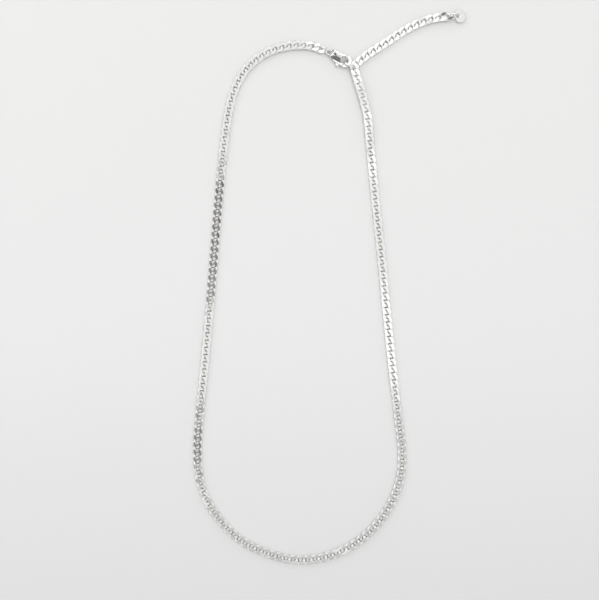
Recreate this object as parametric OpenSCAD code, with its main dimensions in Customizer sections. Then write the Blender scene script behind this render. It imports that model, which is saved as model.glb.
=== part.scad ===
// Curb chain necklace with a lobster clasp, an extender and a small bare end tag.
// It lies flat, as on a table: X to the right, Y towards the clasp, Z up, millimetres.
// Every link is a twisted oval of wire whose top and bottom are ground flat.

/* [Curb links] */
// Length of one link over its ends
link_l = 4.7; // [4.5:0.05:4.9]
// Width of one link, which is the width of the chain
link_w = 3.2; // [3.1:0.05:3.4]
// Width of the wire, seen from above
wire_w = 0.88; // [0.84:0.01:0.9]
// Thickness of the chain between its two ground faces
chain_t = 1.44; // [1.4:0.02:1.6]
// Space between two strands that cross
crossing_gap = 0.18; // [0.16:0.01:0.2]
// Slack along the chain between two links that hook each other
link_play = 0.24; // [0.22:0.01:0.28]

/* [Lobster clasp] */
// Length from the tail eye to the front of the hook
clasp_l = 10.5; // [10.2:0.1:11]
// Width across the body and the hook
clasp_w = 4.8; // [4.6:0.1:5.2]
// Thickness of the belly that holds the lever
clasp_t = 3.2; // [3:0.1:3.4]
// Thickness of the hook at the front
hook_t = 1; // [0.9:0.05:1.1]
// Width of the hook's bar, seen from above
hook_bar = 1.05; // [0.95:0.05:1.15]
// Outer diameter of the eye at the tail
tail_eye_d = 2.5; // [2.4:0.1:2.7]
// Bore of the eye at the tail
tail_bore_d = 1.5; // [1.45:0.05:1.6]
// Thickness of the eye at the tail
tail_t = 1; // [0.9:0.05:1.1]
// Thickness of the spring lever
lever_t = 1; // [0.9:0.05:1.1]
// Space between the lever and each cheek of the body
lever_gap = 0.08; // [0.06:0.01:0.12]
// Diameter of the rivet that the lever turns on
rivet_d = 0.9; // [0.8:0.05:1]
// Space around the rivet in the lever
rivet_play = 0.05; // [0.03:0.01:0.08]
// How far the lever opens into the hook, in degrees
lever_open = 32; // [30:1:34]

/* [Rings] */
// Outer diameter of the ring that joins the hook, the chain's end and the extender
end_ring_d = 4.8; // [4.8:0.1:5.2]
// Wire of that ring
end_ring_wire = 0.6; // [0.5:0.05:0.65]
// Outer diameter of the ring between the clasp's tail and the chain
clasp_ring_d = 3.4; // [3.4:0.1:3.6]
// Wire of that ring
clasp_ring_wire = 0.5; // [0.45:0.05:0.55]
// Outer diameter of the ring that carries the tag
tag_ring_d = 3.5; // [3.4:0.1:3.7]
// Wire of that ring
tag_ring_wire = 0.5; // [0.45:0.05:0.55]

/* [End tag] */
// Diameter of the bare round tag
tag_d = 4.8; // [4.4:0.1:5.2]
// Thickness of the tag
tag_t = 0.75; // [0.65:0.05:0.8]
// Bore for the tag's ring
tag_bore_d = 1.45; // [1.4:0.05:1.6]
// Metal left between the bore and the tag's edge
tag_rim = 0.5; // [0.5:0.05:0.7]

/* [Hidden] */
$fn = 48;

// Where the chain lies, between its two end links: chosen points in millimetres
loop_route = [[-11.7, 89.6], [-21.7, 87.6], [-29.7, 82.2], [-34.8, 74.4], [-37.6, 64.5], [-39.5, 50],
              [-41.4, 30], [-43, 10], [-44.7, -10], [-46.5, -30], [-48.2, -47], [-49, -61],
              [-48, -72], [-43.6, -82.4], [-34.6, -92.6], [-23.2, -98.7], [-10.7, -101.2], [1.8, -99],
              [12.8, -92.6], [21.1, -83], [25.8, -72.4], [26.9, -62], [25.8, -51], [23.4, -31], [21.4, -12],
              [19.5, 8], [17.2, 30], [15.2, 50], [13.7, 64.5]];
extender_route = [[21.6, 91.1], [28.6, 95.6], [36, 98.9]];
extender_end = [43.4, 100.1];

// Where the clasp lies: the back of its tail eye, and the way that it points, in degrees
clasp_at = [-1.4, 87.6];
clasp_turn = -29;

// Tilt of the three rings about the line through what they join, in degrees
end_ring_tilt = 57;
clasp_ring_tilt = 68;
tag_ring_tilt = 66;
// Where the end links sit round their rings, in degrees from the ring's axis
tail_seat = 8;
loop_seat = -27;
extender_seat = 30;
// The way that the chains leave their rings, and the extender points at its tag, in degrees
tail_leave = 158;
loop_leave = -74.5;
extender_leave = 44.5;
tag_way = 4;
// Space between a ring's wire and the inside of the link's end that it holds
tail_slack = 0.27;
end_slack = 0.3;
tag_slack = 0.24;
// How far the rings' wires pass from the middle of the tail eye and of the tag's bore
eye_shift = 0.07;
tag_shift = 0.15;
// How much higher than the ring's wire the middle of the end link sits
tail_rise = 0.08;
end_rise = -0.09;
// Turn of the extender's first link about its own line, in degrees
extender_roll = 3;
// Lengths over which the chains rise to their rings, and over which that turn fades
loop_rise_run = 34;
extender_rise_run = 18;
roll_run = 6;

link_hole_l = link_l - 2 * wire_w;
link_hole_w = link_w - 2 * wire_w;
pitch = link_hole_l - link_play;
hole_corner = link_hole_w / 4;
outline_sides = 12;
// Half the run over which a strand passes from the top face to the bottom one, and its steepest part
side_cross = pitch * 0.18;
end_cross = link_hole_w * 0.26;
steep_share = 0.3;
half_chain = chain_t / 2;

end_ring_r = (end_ring_d - end_ring_wire) / 2;
clasp_ring_r = (clasp_ring_d - clasp_ring_wire) / 2;
tag_ring_r = (tag_ring_d - tag_ring_wire) / 2;

function turned(v, angle) = [v.x * cos(angle) - v.y * sin(angle), v.x * sin(angle) + v.y * cos(angle)];
function heading(angle) = [cos(angle), sin(angle)];

// Clasp layout along its own line, from the tail
hook_r = clasp_w / 2;
hook_hole_r = hook_r - hook_bar;
hook_u = clasp_l - hook_r;
clasp_z = clasp_t / 2;
tail_u = tail_eye_d / 2;
shoulder_u = tail_u + 1.8;
belly_end_u = hook_u - 1.9;
hook_start_u = hook_u + 0.3;
// How far the belly's sides stay inside the hook's outline: all along, and at its two shoulders
side_trim = 0.1;
gate_shoulder_trim = 0.55;
thumb_shoulder_trim = 0.9;
cheek_bevel = clasp_t / 4;
opening_back = 1.6;
mouth_back = 2.1;
mouth_front = 0.75;
pivot = [hook_u - 3.4, 0.7];
nose = [hook_u - 1.1, hook_r - 0.65];
thumb = [hook_u - 1.9, -hook_r - 0.2];
lever_w = 1;
nose_r = 0.42;
thumb_r = 0.62;
knuckle_r = rivet_d / 2 + 0.5;
slot_t = lever_t + 2 * lever_gap;
sweep_steps = 5;
sweep_over = 2;
pocket_gap = 0.13;

// Ring centres
end_ring_xy = clasp_at + turned([hook_u + end_ring_r, 0], clasp_turn);
end_ring_z = end_ring_r * sin(end_ring_tilt) + end_ring_wire / 2;
tail_xy = clasp_at + turned([tail_u, 0], clasp_turn);
clasp_ring_xy = tail_xy + (clasp_ring_r - eye_shift) * heading(tail_leave);
clasp_ring_z = clasp_z + eye_shift;
tag_ring_z = tag_ring_r * sin(tag_ring_tilt) + tag_ring_wire / 2;

// A point on a tilted ring, relative to its centre, seat degrees round from its axis
function on_ring(r, tilt, axis, seat) =
    let (flat = turned([r * cos(seat), r * sin(seat) * cos(tilt)], axis))
    [flat.x, flat.y, -r * sin(seat) * sin(tilt)];
// From the centre of an end link to the ring wire that it holds
function link_reach(wire, slack) = link_hole_l / 2 - slack - wire / 2;

tail_wire = on_ring(clasp_ring_r, clasp_ring_tilt, tail_leave, tail_seat);
loop_wire = on_ring(end_ring_r, end_ring_tilt, clasp_turn, loop_seat);
extender_wire = on_ring(end_ring_r, end_ring_tilt, clasp_turn, extender_seat);
loop_first = clasp_ring_xy + [tail_wire.x, tail_wire.y]
             + link_reach(clasp_ring_wire, tail_slack) * heading(tail_leave);
loop_last = end_ring_xy + [loop_wire.x, loop_wire.y]
            + link_reach(end_ring_wire, end_slack) * heading(loop_leave);
extender_first = end_ring_xy + [extender_wire.x, extender_wire.y]
                 + link_reach(end_ring_wire, end_slack) * heading(extender_leave);
tag_reach = link_reach(tag_ring_wire, tag_slack);

loop_path = smooth_path(concat([loop_first], loop_route, [loop_last]), tail_leave, loop_leave + 180);
extender_path = smooth_path(concat([extender_first], extender_route, [extender_end]),
                            extender_leave, tag_way);
loop_walk = walked(loop_path);
extender_walk = walked(extender_path);
loop_links = link_count(loop_walk);
extender_links = link_count(extender_walk);
meeting_link = floor(loop_links / 2);

// How much higher than on the surface the end links sit, to reach their rings
tail_lift = clasp_ring_z + tail_wire.z + tail_rise - half_chain;
loop_lift = end_ring_z + loop_wire.z + end_rise - half_chain;
extender_lift = end_ring_z + extender_wire.z + end_rise - half_chain;
tag_lift = tag_ring_z - half_chain;

// One stretch of a smooth curve from b to c, with its neighbours a and d
function between(a, b, c, d, t) =
    (2 * b + (c - a) * t + (2 * a - 5 * b + 4 * c - d) * t * t
     + (3 * b - a - 3 * c + d) * t * t * t) / 2;
// A smooth curve through points p that sets out and arrives in the given directions
function smooth_path(p, start_way, end_way, steps = 12) =
    let (n = len(p),
         before = p[1] - 2 * norm(p[1] - p[0]) * heading(start_way),
         after = p[n - 2] + 2 * norm(p[n - 1] - p[n - 2]) * heading(end_way),
         q = concat([before], p, [after]))
    concat([for (i = [1:n - 1], k = [0:steps - 1])
            between(q[i - 1], q[i], q[i + 1], q[i + 2], k / steps)],
           [p[n - 1]]);
// Distance walked to each point of a path
function walked(path) =
    [for (i = 0, s = 0; i < len(path);
          i = i + 1, s = i < len(path) ? s + norm(path[i] - path[i - 1]) : s) s];
function link_count(walk) = round(walk[len(walk) - 1] / pitch) + 1;
function point_at(path, walk, s) =
    [lookup(s, [for (i = [0:len(path) - 1]) [walk[i], path[i].x]]),
     lookup(s, [for (i = [0:len(path) - 1]) [walk[i], path[i].y]])];
function ease(e) = let (c = max(0, min(1, e))) c * c * (3 - 2 * c);
function end_share(s, total, run, start_value, end_value) =
    start_value * ease(1 - s / run) + end_value * ease(1 - (total - s) / run);

// The oval of one link, seen from above
module link_plan() {
    hl = link_hole_l / 2;
    hw = link_hole_w / 2;
    c = hole_corner;
    difference() {
        polygon([for (i = [0:outline_sides - 1]) let (t = (i + 0.5) * 360 / outline_sides)
                 [link_l * cos(t), link_w * sin(t)] / 2 / cos(180 / outline_sides)]);
        polygon([[hl, hw - c], [hl - c, hw], [c - hl, hw], [-hl, hw - c],
                 [-hl, c - hw], [c - hl, -hw], [hl - c, -hw], [hl, c - hw]]);
    }
}

// Side view of a strand that passes from the top face to the bottom one
module strand_profile(cross, reach) {
    g = crossing_gap / 2;
    low = cross * steep_share;
    polygon([[-reach, g], [-cross, g], [low, -half_chain], [reach, -half_chain],
             [reach, -g], [cross, -g], [-low, half_chain], [-reach, half_chain]]);
}

// The twist: each half of the oval swaps faces once on its side and once at its end
module link_twist() {
    for (turn = [0, 180])
        rotate([0, 0, turn]) {
            translate([0, link_w, 0])
                rotate([90, 0, 0])
                    linear_extrude(link_w - end_cross) strand_profile(side_cross, link_l / 4);
            translate([side_cross, 0, 0])
                rotate([90, 0, 90])
                    linear_extrude(link_l / 2) strand_profile(end_cross, link_w);
        }
}

module curb_link() {
    intersection() {
        translate([0, 0, -chain_t])
            linear_extrude(2 * chain_t) link_plan();
        link_twist();
    }
}

// Links first to last along a path, lifted and rolled towards the rings at its two ends
module link_run(path, walk, count, first, last, start_lift, end_lift, run, start_roll) {
    total = walk[len(walk) - 1];
    step = total / (count - 1);
    for (i = [first:last]) {
        s = i * step;
        here = point_at(path, walk, s);
        ahead = point_at(path, walk, s + step / 2) - point_at(path, walk, s - step / 2);
        climb = end_share(s + step / 2, total, run, start_lift, end_lift)
                - end_share(s - step / 2, total, run, start_lift, end_lift);
        slope = atan(climb / step);
        low_end = link_l / 2 * abs(sin(slope)) * pow(1 - end_share(s, total, run, 1, 1), 2);
        z = end_share(s, total, run, start_lift, end_lift) + low_end;
        translate([here.x, here.y, half_chain + z])
            rotate([start_roll * ease(1 - s / roll_run), -slope, atan2(ahead.y, ahead.x)])
                curb_link();
    }
}

module neck_chain_left() {
    color("silver")
        link_run(loop_path, loop_walk, loop_links, 0, meeting_link - 1, tail_lift, loop_lift,
                 loop_rise_run, 0);
}

module neck_chain_right() {
    color("silver")
        link_run(loop_path, loop_walk, loop_links, meeting_link, loop_links - 1, tail_lift, loop_lift,
                 loop_rise_run, 0);
}

module extender_chain() {
    color("silver")
        link_run(extender_path, extender_walk, extender_links, 0, extender_links - 1,
                 extender_lift, tag_lift, extender_rise_run, extender_roll);
}

// A closed round wire ring, tilted about its axis line so that its left side is low
module wire_ring(r, wire, tilt, axis) {
    color("lightgray")
        rotate([-tilt, 0, axis])
            rotate_extrude()
                translate([r, 0]) circle(d = wire);
}

module end_ring() {
    translate([end_ring_xy.x, end_ring_xy.y, end_ring_z])
        wire_ring(end_ring_r, end_ring_wire, end_ring_tilt, clasp_turn);
}

module clasp_ring() {
    translate([clasp_ring_xy.x, clasp_ring_xy.y, clasp_ring_z])
        wire_ring(clasp_ring_r, clasp_ring_wire, clasp_ring_tilt, tail_leave);
}

module in_clasp() {
    translate([clasp_at.x, clasp_at.y, clasp_z])
        rotate([0, 0, clasp_turn])
            children();
}

// The clasp's outline seen from above, without its openings, as an upright block
module clasp_block() {
    side = hook_r - side_trim;
    h = 2 * clasp_t;
    translate([tail_u, 0, -clasp_t]) cylinder(d = tail_eye_d, h = h);
    translate([hook_u, 0, -clasp_t]) cylinder(r = hook_r, h = h);
    translate([0, 0, -clasp_t])
        linear_extrude(h)
            polygon([[tail_u, tail_u * 0.8], [shoulder_u, hook_r - gate_shoulder_trim],
                     [belly_end_u - 1, side], [hook_u, side], [hook_u, -side], [belly_end_u - 1, -side],
                     [shoulder_u, thumb_shoulder_trim - hook_r], [tail_u, -tail_u * 0.8]]);
}

// Side view of the clasp: thin tail and hook, full belly
module clasp_side() {
    tail_z = tail_t / 2;
    hook_z = hook_t / 2;
    eye_end_u = tail_u + 0.5;
    past_u = clasp_l + 1;
    polygon([[-1, -tail_z], [eye_end_u, -tail_z], [shoulder_u, -clasp_z], [belly_end_u, -clasp_z],
             [hook_start_u, -hook_z], [past_u, -hook_z], [past_u, hook_z], [hook_start_u, hook_z],
             [belly_end_u, clasp_z], [shoulder_u, clasp_z], [eye_end_u, tail_z], [-1, tail_z]]);
}

// Front view of the clasp: cheeks bevelled down to the hook's thickness
module clasp_front() {
    over = side_trim;
    edge = hook_r + over;
    edge_z = hook_t / 2 + over;
    top_z = clasp_z + over;
    polygon([[edge + 1, 0], [edge, edge_z], [hook_r - cheek_bevel, top_z],
             [cheek_bevel - hook_r, top_z], [-edge, edge_z], [-edge - 1, 0],
             [-edge, -edge_z], [cheek_bevel - hook_r, -top_z],
             [hook_r - cheek_bevel, -top_z], [edge, -edge_z]]);
}

// Opening of the hook, and the mouth that the lever's nose closes
module hook_opening() {
    side = hook_hole_r - side_trim / 2;
    h = 2 * clasp_t;
    translate([hook_u, 0, -clasp_t]) cylinder(r = hook_hole_r, h = h);
    translate([hook_u - opening_back, -side, -clasp_t]) cube([opening_back + side_trim, 2 * side, h]);
    translate([0, 0, -clasp_t])
        linear_extrude(h)
            polygon([[hook_u - opening_back, 0], [hook_u - mouth_back, hook_r + 1],
                     [hook_u - mouth_front, hook_r + 1], [hook_u - mouth_front / 2, 0]]);
}

// One arm of the lever, from the rivet to a round tip
module lever_arm(tip, tip_r, t, grow) {
    side = lever_w / 2 + grow;
    away = (tip - pivot) / norm(tip - pivot);
    left = [-away.y, away.x];
    end_side = (tip_r + grow) * 0.9;
    translate([tip.x, tip.y, -t / 2]) cylinder(r = tip_r + grow, h = t);
    translate([0, 0, -t / 2])
        linear_extrude(t)
            polygon([pivot + left * side, tip + left * end_side,
                     tip - left * end_side, pivot - left * side]);
}

// The lever's outline as a plate, grown by the space that it is given
module lever_plate(t, grow) {
    translate([pivot.x, pivot.y, -t / 2]) cylinder(r = knuckle_r + grow, h = t);
    lever_arm(nose, nose_r, t, grow);
    lever_arm(thumb, thumb_r, t, grow);
}

// Pocket that the lever turns in
module lever_pocket() {
    for (k = [0:sweep_steps])
        translate(pivot)
            rotate([0, 0, -k * (lever_open + sweep_over) / sweep_steps])
                translate(-pivot)
                    lever_plate(slot_t, pocket_gap);
}

module clasp_body() {
    color("lightgray")
        in_clasp()
            difference() {
                intersection() {
                    clasp_block();
                    translate([0, clasp_w, 0])
                        rotate([90, 0, 0]) linear_extrude(2 * clasp_w) clasp_side();
                    translate([-1, 0, 0])
                        rotate([90, 0, 90]) linear_extrude(clasp_l + 2) clasp_front();
                }
                hook_opening();
                lever_pocket();
                translate([tail_u, 0, -clasp_t]) cylinder(d = tail_bore_d, h = 2 * clasp_t);
                translate([pivot.x, pivot.y, -clasp_t]) cylinder(d = rivet_d, h = 2 * clasp_t);
            }
}

module clasp_lever() {
    color("gainsboro")
        in_clasp()
            difference() {
                lever_plate(lever_t, 0);
                translate([pivot.x, pivot.y, -lever_t])
                    cylinder(d = rivet_d + 2 * rivet_play, h = 2 * lever_t);
            }
}

module clasp_pin() {
    color("silver")
        in_clasp()
            translate([pivot.x, pivot.y, -clasp_z]) cylinder(d = rivet_d, h = clasp_t);
}

module at_extender_end(reach, z) {
    at = extender_end + reach * heading(tag_way);
    translate([at.x, at.y, z]) children();
}

module tag_ring() {
    at_extender_end(tag_reach + tag_ring_r, tag_ring_z)
        wire_ring(tag_ring_r, tag_ring_wire, tag_ring_tilt, tag_way + 180);
}

// The tag slopes down from its ring until its far edge rests on the surface
module end_tag() {
    centre = tag_d / 2 - tag_rim - tag_bore_d / 2;
    far_edge = centre + tag_d / 2;
    tag_slope = asin(tag_ring_z / norm([far_edge, tag_t / 2])) - atan(tag_t / 2 / far_edge);
    color("whitesmoke")
        at_extender_end(tag_reach + 2 * tag_ring_r - tag_shift, tag_ring_z)
            rotate([0, tag_slope, tag_way])
                difference() {
                    translate([centre, 0, -tag_t / 2]) cylinder(d = tag_d, h = tag_t);
                    translate([0, 0, -tag_t]) cylinder(d = tag_bore_d, h = 2 * tag_t);
                }
}

neck_chain_left();
neck_chain_right();
extender_chain();
clasp_ring();
clasp_body();
clasp_lever();
clasp_pin();
end_ring();
tag_ring();
end_tag();
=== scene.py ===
import random
from math import cos, pi, radians, sin

import bpy
import numpy as np
from mathutils import Matrix, Vector


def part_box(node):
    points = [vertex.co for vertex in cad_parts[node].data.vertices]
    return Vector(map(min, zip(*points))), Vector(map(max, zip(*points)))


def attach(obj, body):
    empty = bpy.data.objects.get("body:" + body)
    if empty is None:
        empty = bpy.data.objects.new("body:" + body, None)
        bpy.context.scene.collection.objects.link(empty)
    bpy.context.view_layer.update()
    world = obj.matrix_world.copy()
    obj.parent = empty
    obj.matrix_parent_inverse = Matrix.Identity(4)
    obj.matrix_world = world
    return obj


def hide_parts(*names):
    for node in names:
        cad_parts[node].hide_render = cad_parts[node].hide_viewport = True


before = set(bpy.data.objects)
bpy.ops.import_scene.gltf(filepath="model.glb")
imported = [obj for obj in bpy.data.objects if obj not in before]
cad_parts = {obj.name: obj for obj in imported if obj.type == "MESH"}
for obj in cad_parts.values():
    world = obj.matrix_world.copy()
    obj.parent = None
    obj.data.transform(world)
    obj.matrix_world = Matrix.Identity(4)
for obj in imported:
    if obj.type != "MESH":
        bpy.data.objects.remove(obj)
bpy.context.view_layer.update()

# Neck chain and extender
# Curb chain: ovals of silver wire, each twisted so that it lies flat, hooked through each other
# and soldered shut, then ground flat and polished on the top and the bottom of the chain.
MM = 0.001                      # pieces are shaped in millimetres and then settled in metres
LINK_WIRE = 1.04
LINK_STEPS = 14                 # stretches of wire round a link
WIRE_FLATS = 8                  # faces round the wire
LINK_BENDS = ((2.03, 0, 0), (1.92, 0.62, 0.58), (1.20, 1.06, 0.62), (0.45, 1.08, 0.42))
#               the wire's middle from a link's end to its side: along, across and up
LINK_RADIUS = LINK_BENDS[-1][1]  # of the round ring that the link is bent from
LINK_END_PRESS = 1.17           # how much wider the wire is pressed at a link's ends
PRESSED_STEPS = 2               # steps from a link's end that are pressed
GROUND_HEIGHT = 0.72            # from the chain's middle to each ground face
LINK_LEAN = 0.45                # degrees that a link rolls by chance; it tips half as much
END_LINK_LEAN = -8              # degrees that the extender's last link lies turned
END_LINK_SHORTER = 0.885        # a link that hangs on a jump ring clears the clasp and the tag
END_LINK_REACH = 4.5            # such a link's middle lies this near to the ring's
SILVER_CHANGE = (0.35, 0.68)    # where in the noise one tone starts to turn into the other
TARNISH_GRAIN = 420
WEAR_GRAIN = 1500
HAIRLINE_GRAIN = 2600
HAIRLINE_STRETCH = (1, 7, 2)
HAIRLINE_WAY = (0, 0, radians(24))
HAIRLINE_STRENGTH = 0.3


def nothing_selected():
    if bpy.context.object and bpy.context.object.mode != "OBJECT":
        bpy.ops.object.mode_set(mode="OBJECT")
    bpy.ops.object.select_all(action="DESELECT")


def only(piece):
    """Selects one piece and makes it the active one."""
    nothing_selected()
    piece.select_set(True)
    bpy.context.view_layer.objects.active = piece


def pick(piece, kind, wanted):
    """In edit mode, selects the vertices or faces that the test wants."""
    bpy.ops.mesh.select_mode(type={"vertices": "VERT", "polygons": "FACE"}[kind])
    bpy.ops.mesh.select_all(action="DESELECT")
    bpy.ops.object.mode_set(mode="OBJECT")
    for item in getattr(piece.data, kind):
        item.select = wanted(item)
    bpy.ops.object.mode_set(mode="EDIT")


def settle(piece, place):
    """Puts a shape that was modelled in millimetres in its place, and leaves its origin at zero."""
    piece.data.transform(place @ Matrix.Scale(MM, 4))
    piece.matrix_world = Matrix.Identity(4)
    piece.data.update()


def stock(node):
    """A merged copy of a CAD node's mesh, still in its place, selected and active."""
    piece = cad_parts[node].copy()
    piece.data = piece.data.copy()
    piece.parent = None
    piece.matrix_world = Matrix.Identity(4)
    bpy.context.scene.collection.objects.link(piece)
    only(piece)
    bpy.ops.object.mode_set(mode="EDIT")
    bpy.ops.mesh.select_all(action="SELECT")
    bpy.ops.mesh.remove_doubles(threshold=0.000001)
    bpy.ops.object.mode_set(mode="OBJECT")
    return piece


def lie(piece):
    """Where a flat, longish shape lies: X along it, Z across its thin side."""
    points = np.array([v.co for v in piece.data.vertices])
    middle = points.mean(axis=0)
    ways = np.linalg.svd(points - middle, full_matrices=False)[2]
    along = Vector(ways[0]) * (1 if ways[0][0] > 0 else -1)
    up = Vector(ways[2]) * (1 if ways[2][2] > 0 else -1)
    side = up.cross(along)
    place = Matrix((along, side, up)).transposed().to_4x4()
    place.translation = Vector(middle)
    return place


def grey(level):
    return (level, level, level)


def ramp(tree, factor, stops):
    """A colour ramp, from its stops: a place between 0 and 1, and the colour there."""
    node = tree.nodes.new("ShaderNodeValToRGB")
    elements = node.color_ramp.elements
    elements[0].position = stops[0][0]
    elements[-1].position = stops[-1][0]
    for place, _ in stops[1:-1]:
        elements.new(place)
    for element, (_, colour) in zip(elements, stops):
        element.color = (*colour, 1)
    tree.links.new(factor, node.inputs["Fac"])
    return node


def polished(name, tone, dull, gloss, roughest, scratch_depth, metallic=1.0):
    """Polished silver: a faint cloud of tarnish, worn gloss, and fine hairlines from handling."""
    material = bpy.data.materials.new(name)
    material.use_nodes = True
    tree = material.node_tree
    shader = tree.nodes["Principled BSDF"]
    shader.inputs["Metallic"].default_value = metallic
    where = tree.nodes.new("ShaderNodeTexCoord").outputs["Object"]

    def noise(source, grain, detail):
        texture = tree.nodes.new("ShaderNodeTexNoise")
        texture.inputs["Scale"].default_value = grain
        texture.inputs["Detail"].default_value = detail
        tree.links.new(source, texture.inputs["Vector"])
        return texture.outputs["Fac"]

    def patches(factor, low, high):
        return ramp(tree, factor, tuple(zip(SILVER_CHANGE, (low, high)))).outputs["Color"]

    tree.links.new(patches(noise(where, TARNISH_GRAIN, 3), dull, tone), shader.inputs["Base Color"])
    tree.links.new(patches(noise(where, WEAR_GRAIN, 4), grey(gloss), grey(roughest)),
                   shader.inputs["Roughness"])
    drawn_out = tree.nodes.new("ShaderNodeMapping")
    drawn_out.inputs["Scale"].default_value = HAIRLINE_STRETCH
    drawn_out.inputs["Rotation"].default_value = HAIRLINE_WAY
    tree.links.new(where, drawn_out.inputs["Vector"])
    bump = tree.nodes.new("ShaderNodeBump")
    bump.inputs["Distance"].default_value = scratch_depth
    bump.inputs["Strength"].default_value = HAIRLINE_STRENGTH
    tree.links.new(noise(drawn_out.outputs["Vector"], HAIRLINE_GRAIN, 3), bump.inputs["Height"])
    tree.links.new(bump.outputs["Normal"], shader.inputs["Normal"])
    return material


def dress(piece, name, material, slot, body, *nodes):
    """Names a finished piece, gives it its finish, sets it on its body and hides the CAD nodes that
    it stands for.
    """
    piece.name = piece.data.name = name
    if material:
        piece.data.materials.clear()
        piece.data.materials.append(material)
    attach(piece, body)
    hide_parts(*nodes)


ground_silver = polished("ground chain silver", (0.97, 0.967, 0.955), (0.92, 0.915, 0.90),
                         gloss=0.04, roughest=0.10, scratch_depth=0.000004)
wire_silver = polished("tumbled chain silver", (0.98, 0.977, 0.965), (0.94, 0.935, 0.92),
                       gloss=0.28, roughest=0.38, scratch_depth=0.000006, metallic=0.78)

nothing_selected()
bpy.ops.mesh.primitive_torus_add(major_segments=LINK_STEPS, minor_segments=WIRE_FLATS,
                                 location=(0, 0, 0), rotation=(0, 0, 0),
                                 major_radius=LINK_RADIUS, minor_radius=LINK_WIRE / 2)
link = bpy.context.object
spokes = [Vector((cos(2 * pi * step / LINK_STEPS), sin(2 * pi * step / LINK_STEPS), 0))
          for step in range(LINK_STEPS)]
rounds = [{v.index for v in link.data.vertices
           if (Vector((v.co.x, v.co.y, 0)).normalized() - spoke).length < 0.01} for spoke in spokes]
bpy.ops.object.mode_set(mode="EDIT")
for step, spoke in enumerate(spokes):
    from_end = min(step % (LINK_STEPS // 2), LINK_STEPS // 2 - step % (LINK_STEPS // 2))
    along, across, up = LINK_BENDS[from_end]
    ahead, aside = (1 if spoke.x > 0 else -1), (1 if spoke.y > 0 else -1)
    bend = Vector((ahead * along, aside * across, -ahead * aside * up))
    pick(link, "vertices", lambda v: v.index in rounds[step])
    bpy.ops.transform.translate(value=bend - spoke * LINK_RADIUS)
    if from_end < PRESSED_STEPS:
        bpy.ops.transform.resize(value=(LINK_END_PRESS, 1, 1), center_override=bend)
for side in (-1, 1):
    bpy.ops.mesh.select_all(action="SELECT")
    bpy.ops.mesh.bisect(plane_co=(0, 0, side * GROUND_HEIGHT), plane_no=(0, 0, side),
                        use_fill=True, clear_outer=True)
link.data.materials.append(wire_silver)
link.data.materials.append(ground_silver)
pick(link, "polygons", lambda f: abs(f.normal.z) > 0.999 and abs(f.center.z) > 0.99 * GROUND_HEIGHT)
link.active_material_index = 1
bpy.ops.object.material_slot_assign()
bpy.ops.mesh.region_to_loop()
bpy.ops.mesh.mark_sharp()
bpy.ops.object.mode_set(mode="OBJECT")
bpy.ops.object.shade_smooth()

hand = random.Random(7)
ring_middles = [(Vector(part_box(ring)[0]) + Vector(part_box(ring)[1])) / 2
                for ring in ("clasp_ring", "end_ring", "tag_ring")]


def chain_of(node, end_lean=0):
    """Hooks a copy of the link into every place that the CAD chain holds."""
    stock(node)
    bpy.ops.object.mode_set(mode="EDIT")
    bpy.ops.mesh.separate(type="LOOSE")
    bpy.ops.object.mode_set(mode="OBJECT")
    places = list(bpy.context.selected_objects)
    far = max(places, key=lambda o: o.data.vertices[0].co.x)
    hooked = []
    for place in places:
        copy = link.copy()
        copy.data = link.data.copy()
        bpy.context.scene.collection.objects.link(copy)
        lean = Matrix.Rotation(radians(hand.gauss(0, LINK_LEAN)), 4, "X") \
            @ Matrix.Rotation(radians(hand.gauss(0, LINK_LEAN / 2)), 4, "Y")
        if place is far and end_lean:
            lean = Matrix.Rotation(radians(end_lean), 4, "X")
        spot = lie(place)
        if min((spot.translation - middle).length for middle in ring_middles) < END_LINK_REACH * MM:
            copy.data.transform(Matrix.Scale(END_LINK_SHORTER, 4, (1, 0, 0)))
        settle(copy, spot @ lean)
        hooked.append(copy)
    for place in places:
        mesh = place.data
        bpy.data.objects.remove(place)
        bpy.data.meshes.remove(mesh)
    nothing_selected()
    for copy in hooked:
        copy.select_set(True)
    bpy.context.view_layer.objects.active = hooked[0]
    bpy.ops.object.join()
    return bpy.context.object


for node, end_lean in (("neck_chain_left", 0), ("neck_chain_right", 0),
                       ("extender_chain", END_LINK_LEAN)):
    dress(chain_of(node, end_lean), node.replace("chain", "links"), None, "chain_silver",
          "necklace", node)
bpy.data.objects.remove(link)

# Jump rings
# Three rings of round drawn wire, cut from a coil and soldered shut: one holds the clasp's
# tail, one holds hook, chain and extender together, and the last one carries the tag.
RINGS = {"clasp_ring": (3.4, 0.5), "end_ring": (4.8, 0.6), "tag_ring": (3.5, 0.5)}
#               outside diameter and wire
ring_silver = polished("drawn ring silver", (0.94, 0.935, 0.92), (0.88, 0.875, 0.86),
                       gloss=0.08, roughest=0.17, scratch_depth=0.000004)
for node, (outside, wire) in RINGS.items():
    copy = stock(node)
    place = lie(copy)
    bpy.data.objects.remove(copy)
    nothing_selected()
    bpy.ops.mesh.primitive_torus_add(major_segments=64, minor_segments=16, location=(0, 0, 0),
                                     rotation=(0, 0, 0), major_radius=(outside - wire) / 2,
                                     minor_radius=wire / 2)
    ring = bpy.context.object
    bpy.ops.object.shade_smooth()
    settle(ring, place)
    dress(ring, node.replace("_ring", "_jump_ring"), ring_silver, "ring_silver", "necklace", node)

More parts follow.
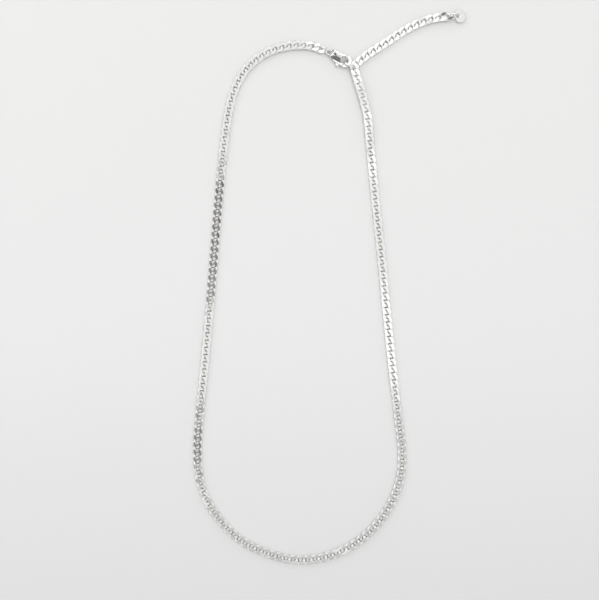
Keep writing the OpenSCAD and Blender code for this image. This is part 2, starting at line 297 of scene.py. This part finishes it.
# Clasp
# Lobster clasp: body and lever are cast in silver and tumbled until every edge is round. The
# lever turns in the belly's pocket on a rivet, and a spring inside holds its nose on the hook.
CLASP_THICKNESS = 3.2
CLASP_BACK = Vector((-1.4, 87.6, 1.6))
CLASP_TURN = radians(-29)
RIVET_AT = (4.7, 0.7, 0)        # places in the clasp are along, across and up from its back
RIVET_DIAMETER = 0.9
RIVET_HEAD = 0.02               # how far each of its heads stands out
KNOB_AT = (6.25, -2.68, 0)
KNOB_RADIUS = 0.66
POCKET_HALF = 0.64              # the pocket's cheeks are never pressed nearer than this
CHEEK = 0.16                    # and are at least this thick
BELLY = (1.9, 7.6)              # from where to where along the clasp the belly is crowned
BELLY_TUMBLED = (0.4, 7.8)      # and where it is tumbled longest
CROWN_HEIGHT = 1.63
CROWN_AT = 4.7
CROWN_FALL_ALONG = 0.02
RIDGE = 1.2                     # the crown's highest line, towards the side of the hook's mouth
FALL_TO_MOUTH = 0.22            # from there the crown falls quickly on the mouth's side
FALL_TO_KNOB = 0.105            # and slowly on the knob's
SMOOTH_ANGLE = radians(38)
clasp_place = Matrix.Translation(CLASP_BACK * MM) @ Matrix.Rotation(CLASP_TURN, 4, "Z")
clasp_silver = polished("cast clasp silver", (0.93, 0.925, 0.91), (0.87, 0.865, 0.85),
                        gloss=0.05, roughest=0.12, scratch_depth=0.000004)


def tumble(piece, passes, group=""):
    """Wears the active piece round, all over or in one of its vertex groups."""
    wear = piece.modifiers.new("tumble", "SMOOTH")
    wear.factor = 0.5
    wear.iterations = passes
    wear.vertex_group = group
    bpy.ops.object.modifier_apply(modifier=wear.name)


def cast(node, grain, passes, knob=False):
    """A cast piece on the bench, in millimetres: the CAD shape with its edges tumbled round."""
    piece = stock(node)
    piece.data.transform(Matrix.Scale(1 / MM, 4) @ clasp_place.inverted())
    if knob:
        nothing_selected()
        bpy.ops.mesh.primitive_uv_sphere_add(segments=24, ring_count=14, radius=KNOB_RADIUS,
                                             location=KNOB_AT)
        piece.select_set(True)
        bpy.context.view_layer.objects.active = piece
        bpy.ops.object.join()
    piece.data.remesh_voxel_size = grain
    bpy.ops.object.voxel_remesh()
    tumble(piece, passes)
    bpy.ops.object.shade_smooth()
    return piece


def rounded(piece, width, corner):
    """Rounds the active piece's rims, where it turns by more than the corner."""
    rim = piece.modifiers.new("rounded rims", "BEVEL")
    rim.width = width
    rim.segments = 4
    rim.limit_method = "ANGLE"
    rim.angle_limit = corner
    bpy.ops.object.modifier_apply(modifier=rim.name)
    bpy.ops.object.shade_smooth_by_angle(angle=SMOOTH_ANGLE)


body = cast("clasp_body", grain=0.09, passes=3)
for vertex in body.data.vertices:
    along, across, up = vertex.co
    fall = FALL_TO_KNOB if across < RIDGE else FALL_TO_MOUTH
    crown = CROWN_HEIGHT - fall * (across - RIDGE) ** 2 - CROWN_FALL_ALONG * (along - CROWN_AT) ** 2
    crown = max(crown, POCKET_HALF + CHEEK)
    if abs(up) > POCKET_HALF and BELLY[0] < along < BELLY[1]:
        vertex.co.z = min(abs(up), crown) * (1 if up > 0 else -1)
only(body)
belly = body.vertex_groups.new(name="belly")
belly.add([v.index for v in body.data.vertices if BELLY_TUMBLED[0] < v.co.x < BELLY_TUMBLED[1]],
          1.0, "REPLACE")
tumble(body, passes=16, group=belly.name)
body.vertex_groups.clear()
settle(body, clasp_place)
dress(body, "clasp_cast_body", clasp_silver, "clasp_silver", "necklace", "clasp_body")

lever = cast("clasp_lever", grain=0.06, passes=6, knob=True)
settle(lever, clasp_place)
dress(lever, "clasp_spring_lever", clasp_silver, "clasp_silver", "lever", "clasp_lever")

nothing_selected()
bpy.ops.mesh.primitive_cylinder_add(vertices=40, radius=RIVET_DIAMETER / 2,
                                    depth=CLASP_THICKNESS + 2 * RIVET_HEAD, location=RIVET_AT)
rivet = bpy.context.object
bpy.ops.object.transform_apply(location=True, rotation=True, scale=True)
rounded(rivet, width=0.16, corner=radians(30))
settle(rivet, clasp_place)
dress(rivet, "clasp_rivet", clasp_silver, "clasp_silver", "necklace", "clasp_pin")

# End tag
# A small round tag, stamped from silver sheet with a bore for its ring. Its rims are rounded
# and polished, and both its faces are bare.
TAG_DIAMETER, TAG_THICKNESS, TAG_BORE = 4.8, 0.75, 1.45
TAG_MIDDLE = 1.175              # from the middle of the bore to the middle of the tag
TAG_BORE_AT = Vector((47.2207, 100.3672, 1.6203))
TAG_WAY, TAG_SLOPE = radians(4), radians(20.805)
tag_silver = polished("pressed tag silver", (0.95, 0.945, 0.93), (0.90, 0.895, 0.88),
                      gloss=0.06, roughest=0.14, scratch_depth=0.000004)
nothing_selected()
bpy.ops.mesh.primitive_cylinder_add(vertices=72, radius=TAG_DIAMETER / 2, depth=TAG_THICKNESS,
                                    location=(TAG_MIDDLE, 0, 0))
tag = bpy.context.object
bpy.ops.object.transform_apply(location=True, rotation=True, scale=True)
bpy.ops.mesh.primitive_cylinder_add(vertices=40, radius=TAG_BORE / 2, depth=2 * TAG_THICKNESS,
                                    location=(0, 0, 0))
punch = bpy.context.object
only(tag)
hole = tag.modifiers.new("bore", "BOOLEAN")
hole.object = punch
hole.operation = "DIFFERENCE"
bpy.ops.object.modifier_apply(modifier=hole.name)
bpy.data.objects.remove(punch)
rounded(tag, width=0.17, corner=radians(50))
settle(tag, Matrix.Translation(TAG_BORE_AT * MM) @ Matrix.Rotation(TAG_WAY, 4, "Z")
       @ Matrix.Rotation(TAG_SLOPE, 4, "Y"))
dress(tag, "end_tag_disc", tag_silver, "tag_silver", "necklace", "end_tag")

# Floor, light and camera
# The necklace lies on a sheet of matt white board under a broad soft light, seen from straight
# above. Boards that the camera never sees are there for the silver to mirror.
FLOOR_SIZE = 6
FLOOR_LEVEL = -0.0002           # clear of the links, which lean by chance
SHEET_SPAN = 2.6                # turns a place on the floor, in metres, into one on the ramps
# Painted shade: the sheet's colour darkens towards the picture's bottom and right, as light falls
# off
SHEET_PAINTED_FALLOFF = ((0.12, grey(0.455)), (0.5, (0.502, 0.502, 0.501)), (0.8, (0.502, 0.501, 0.494)))
#                             painted shade, from the bottom of the picture to its top: darker at
#                             the bottom
SHEET_PAINTED_SIDE_FALLOFF = ((0.1, grey(1.045)), (0.9, grey(0.955)))
#                             and painted shade from its left to its right: lighter on the left


def times(tree, first, second):
    """One node's colour multiplied by another's."""
    node = tree.nodes.new("ShaderNodeMix")
    node.data_type = "RGBA"
    node.blend_type = "MULTIPLY"
    node.inputs["Factor"].default_value = 1.0
    tree.links.new(first, node.inputs["A"])
    tree.links.new(second, node.inputs["B"])
    return node.outputs["Result"]


nothing_selected()
bpy.ops.mesh.primitive_plane_add(size=FLOOR_SIZE, location=(0, 0, FLOOR_LEVEL))
floor = bpy.context.object
floor.name = "floor"
board = bpy.data.materials.new("matt white board")
board.use_nodes = True
paper = board.node_tree
slope = paper.nodes.new("ShaderNodeMapping")
slope.inputs["Location"].default_value = (0.5, 0.5, 0)
slope.inputs["Scale"].default_value = (SHEET_SPAN, SHEET_SPAN, SHEET_SPAN)
paper.links.new(paper.nodes.new("ShaderNodeTexCoord").outputs["Object"], slope.inputs["Vector"])
spread = paper.nodes.new("ShaderNodeSeparateXYZ")
paper.links.new(slope.outputs["Vector"], spread.inputs["Vector"])
# The sheet's colour carries painted shade, darker towards the bottom and the right of the picture
painted_falloff = ramp(paper, spread.outputs["Y"], SHEET_PAINTED_FALLOFF)
painted_falloff.color_ramp.interpolation = "EASE"
painted_side_falloff = ramp(paper, spread.outputs["X"], SHEET_PAINTED_SIDE_FALLOFF)
paper.links.new(times(paper, painted_falloff.outputs["Color"], painted_side_falloff.outputs["Color"]),
                paper.nodes["Principled BSDF"].inputs["Base Color"])
paper.nodes["Principled BSDF"].inputs["Roughness"].default_value = 0.9
floor.data.materials.append(board)

bpy.context.scene.view_settings.view_transform = "Standard"

# The room is pale, darker near the floor, straight above and on both sides, most on the left.
ROOM_BY_HEIGHT = ((0, 0.6), (0.35, 0.8), (0.55, 1.0), (0.8, 1.0), (0.95, 0.76))
ROOM_BY_SIDE = ((0.05, 0.5), (0.35, 1.0), (0.65, 1.0), (0.83, 0.76), (0.95, 0.74))
ROOM_STRENGTH = 1.16
room = bpy.data.worlds.new("room")
bpy.context.scene.world = room
room.use_nodes = True
walls = room.node_tree
split = walls.nodes.new("ShaderNodeSeparateXYZ")
walls.links.new(walls.nodes.new("ShaderNodeTexCoord").outputs["Generated"], split.inputs["Vector"])
halfway = walls.nodes.new("ShaderNodeMath")
halfway.operation = "MULTIPLY_ADD"
halfway.inputs[1].default_value = 0.5
halfway.inputs[2].default_value = 0.5
walls.links.new(split.outputs["X"], halfway.inputs[0])
by_height = ramp(walls, split.outputs["Z"], [(at, grey(level)) for at, level in ROOM_BY_HEIGHT])
by_side = ramp(walls, halfway.outputs["Value"], [(at, grey(level)) for at, level in ROOM_BY_SIDE])
walls.links.new(times(walls, by_height.outputs["Color"], by_side.outputs["Color"]),
                walls.nodes["Background"].inputs["Color"])
walls.nodes["Background"].inputs["Strength"].default_value = ROOM_STRENGTH


def turned_to(at, towards, front):
    """The turn that points a front at a spot, or straight down where none is given."""
    spot = Vector(towards) if towards else Vector((at[0], at[1], 0))
    return (spot - Vector(at)).to_track_quat(front, "Y")


def soft_light(name, at, size, radiance, towards=None):
    """A rectangular soft box whose face is as bright as the given radiance."""
    lamp = bpy.data.lights.new(name, "AREA")
    lamp.shape = "RECTANGLE"
    lamp.size, lamp.size_y = size
    lamp.energy = radiance * pi * size[0] * size[1]
    holder = bpy.data.objects.new(name, lamp)
    bpy.context.scene.collection.objects.link(holder)
    holder.location = at
    holder.rotation_euler = turned_to(at, towards, "-Z").to_euler()
    return holder


soft_light("far box", (0.225, 0.375, 1.3), (0.51, 0.45), 0.5)
soft_light("near box", (0.24, -0.06, 1.3), (0.36, 0.13), 0.42)
soft_light("window", (-1.3, 1.2, 1.5), (1.6, 1.6), 1.5, towards=(0, 0, 0))
# The overhead box lights the sheet, but the silver doesn't mirror it.
overhead = soft_light("overhead box", (-0.01, 0, 1.5), (0.9, 0.9), 10.6)
overhead.visible_glossy = False


def flag(name, at, size, tone, towards=None):
    """A board that the camera never sees, near white to near black, for the silver to mirror."""
    cloth = bpy.data.materials.new(name + " cloth")
    cloth.use_nodes = True
    cloth.node_tree.nodes["Principled BSDF"].inputs["Base Color"].default_value = (*grey(tone), 1)
    nothing_selected()
    bpy.ops.mesh.primitive_plane_add(size=1)
    sheet = bpy.context.object
    sheet.name = name
    sheet.data.transform(Matrix.LocRotScale(Vector(at), turned_to(at, towards, "Z"), (*size, 1)))
    sheet.data.materials.append(cloth)
    sheet.visible_camera = False


flag("flag upper left", (-0.20, 0.068, 1.05), (0.28, 0.14), 0.36)
flag("flag lower left", (-0.21, -0.166, 1.05), (0.28, 0.065), 0.36)
flag("flag nearer the bottom", (0.015, -0.225, 1.10), (0.29, 0.21), 0.95)
flag("flag beyond tag", (0.14, 0.63, 1.05), (0.2, 0.2), 0.27)
flag("flag over clasp", (-0.0275, 0.11, 1.05), (0.095, 0.14), 0.05)
flag("flag left of loop", (-0.235, -0.07, 1.05), (0.15, 0.13), 0.05)
flag("flag beside clasp", (-0.39, -0.62, 1.085), (0.50, 1.93), 0.05, towards=(0.003, 0.085, 1.085))

VIEW_CENTRE = (-0.0112, -0.0048)
VIEW_HEIGHT = 0.2222            # what the picture shows from its top to its bottom
VIEW_LEVEL = 0.0015             # over the floor, where that is measured
LENS = 85
SENSOR = 36
camera_data = bpy.data.cameras.new("camera")
camera_data.lens = LENS
camera_data.sensor_width = SENSOR
camera_data.clip_start = 0.01
camera = bpy.data.objects.new("camera", camera_data)
bpy.context.scene.collection.objects.link(camera)
camera.location = (*VIEW_CENTRE, VIEW_HEIGHT * LENS / SENSOR + VIEW_LEVEL)
camera.rotation_euler = (0, 0, 0)
bpy.context.scene.camera = camera
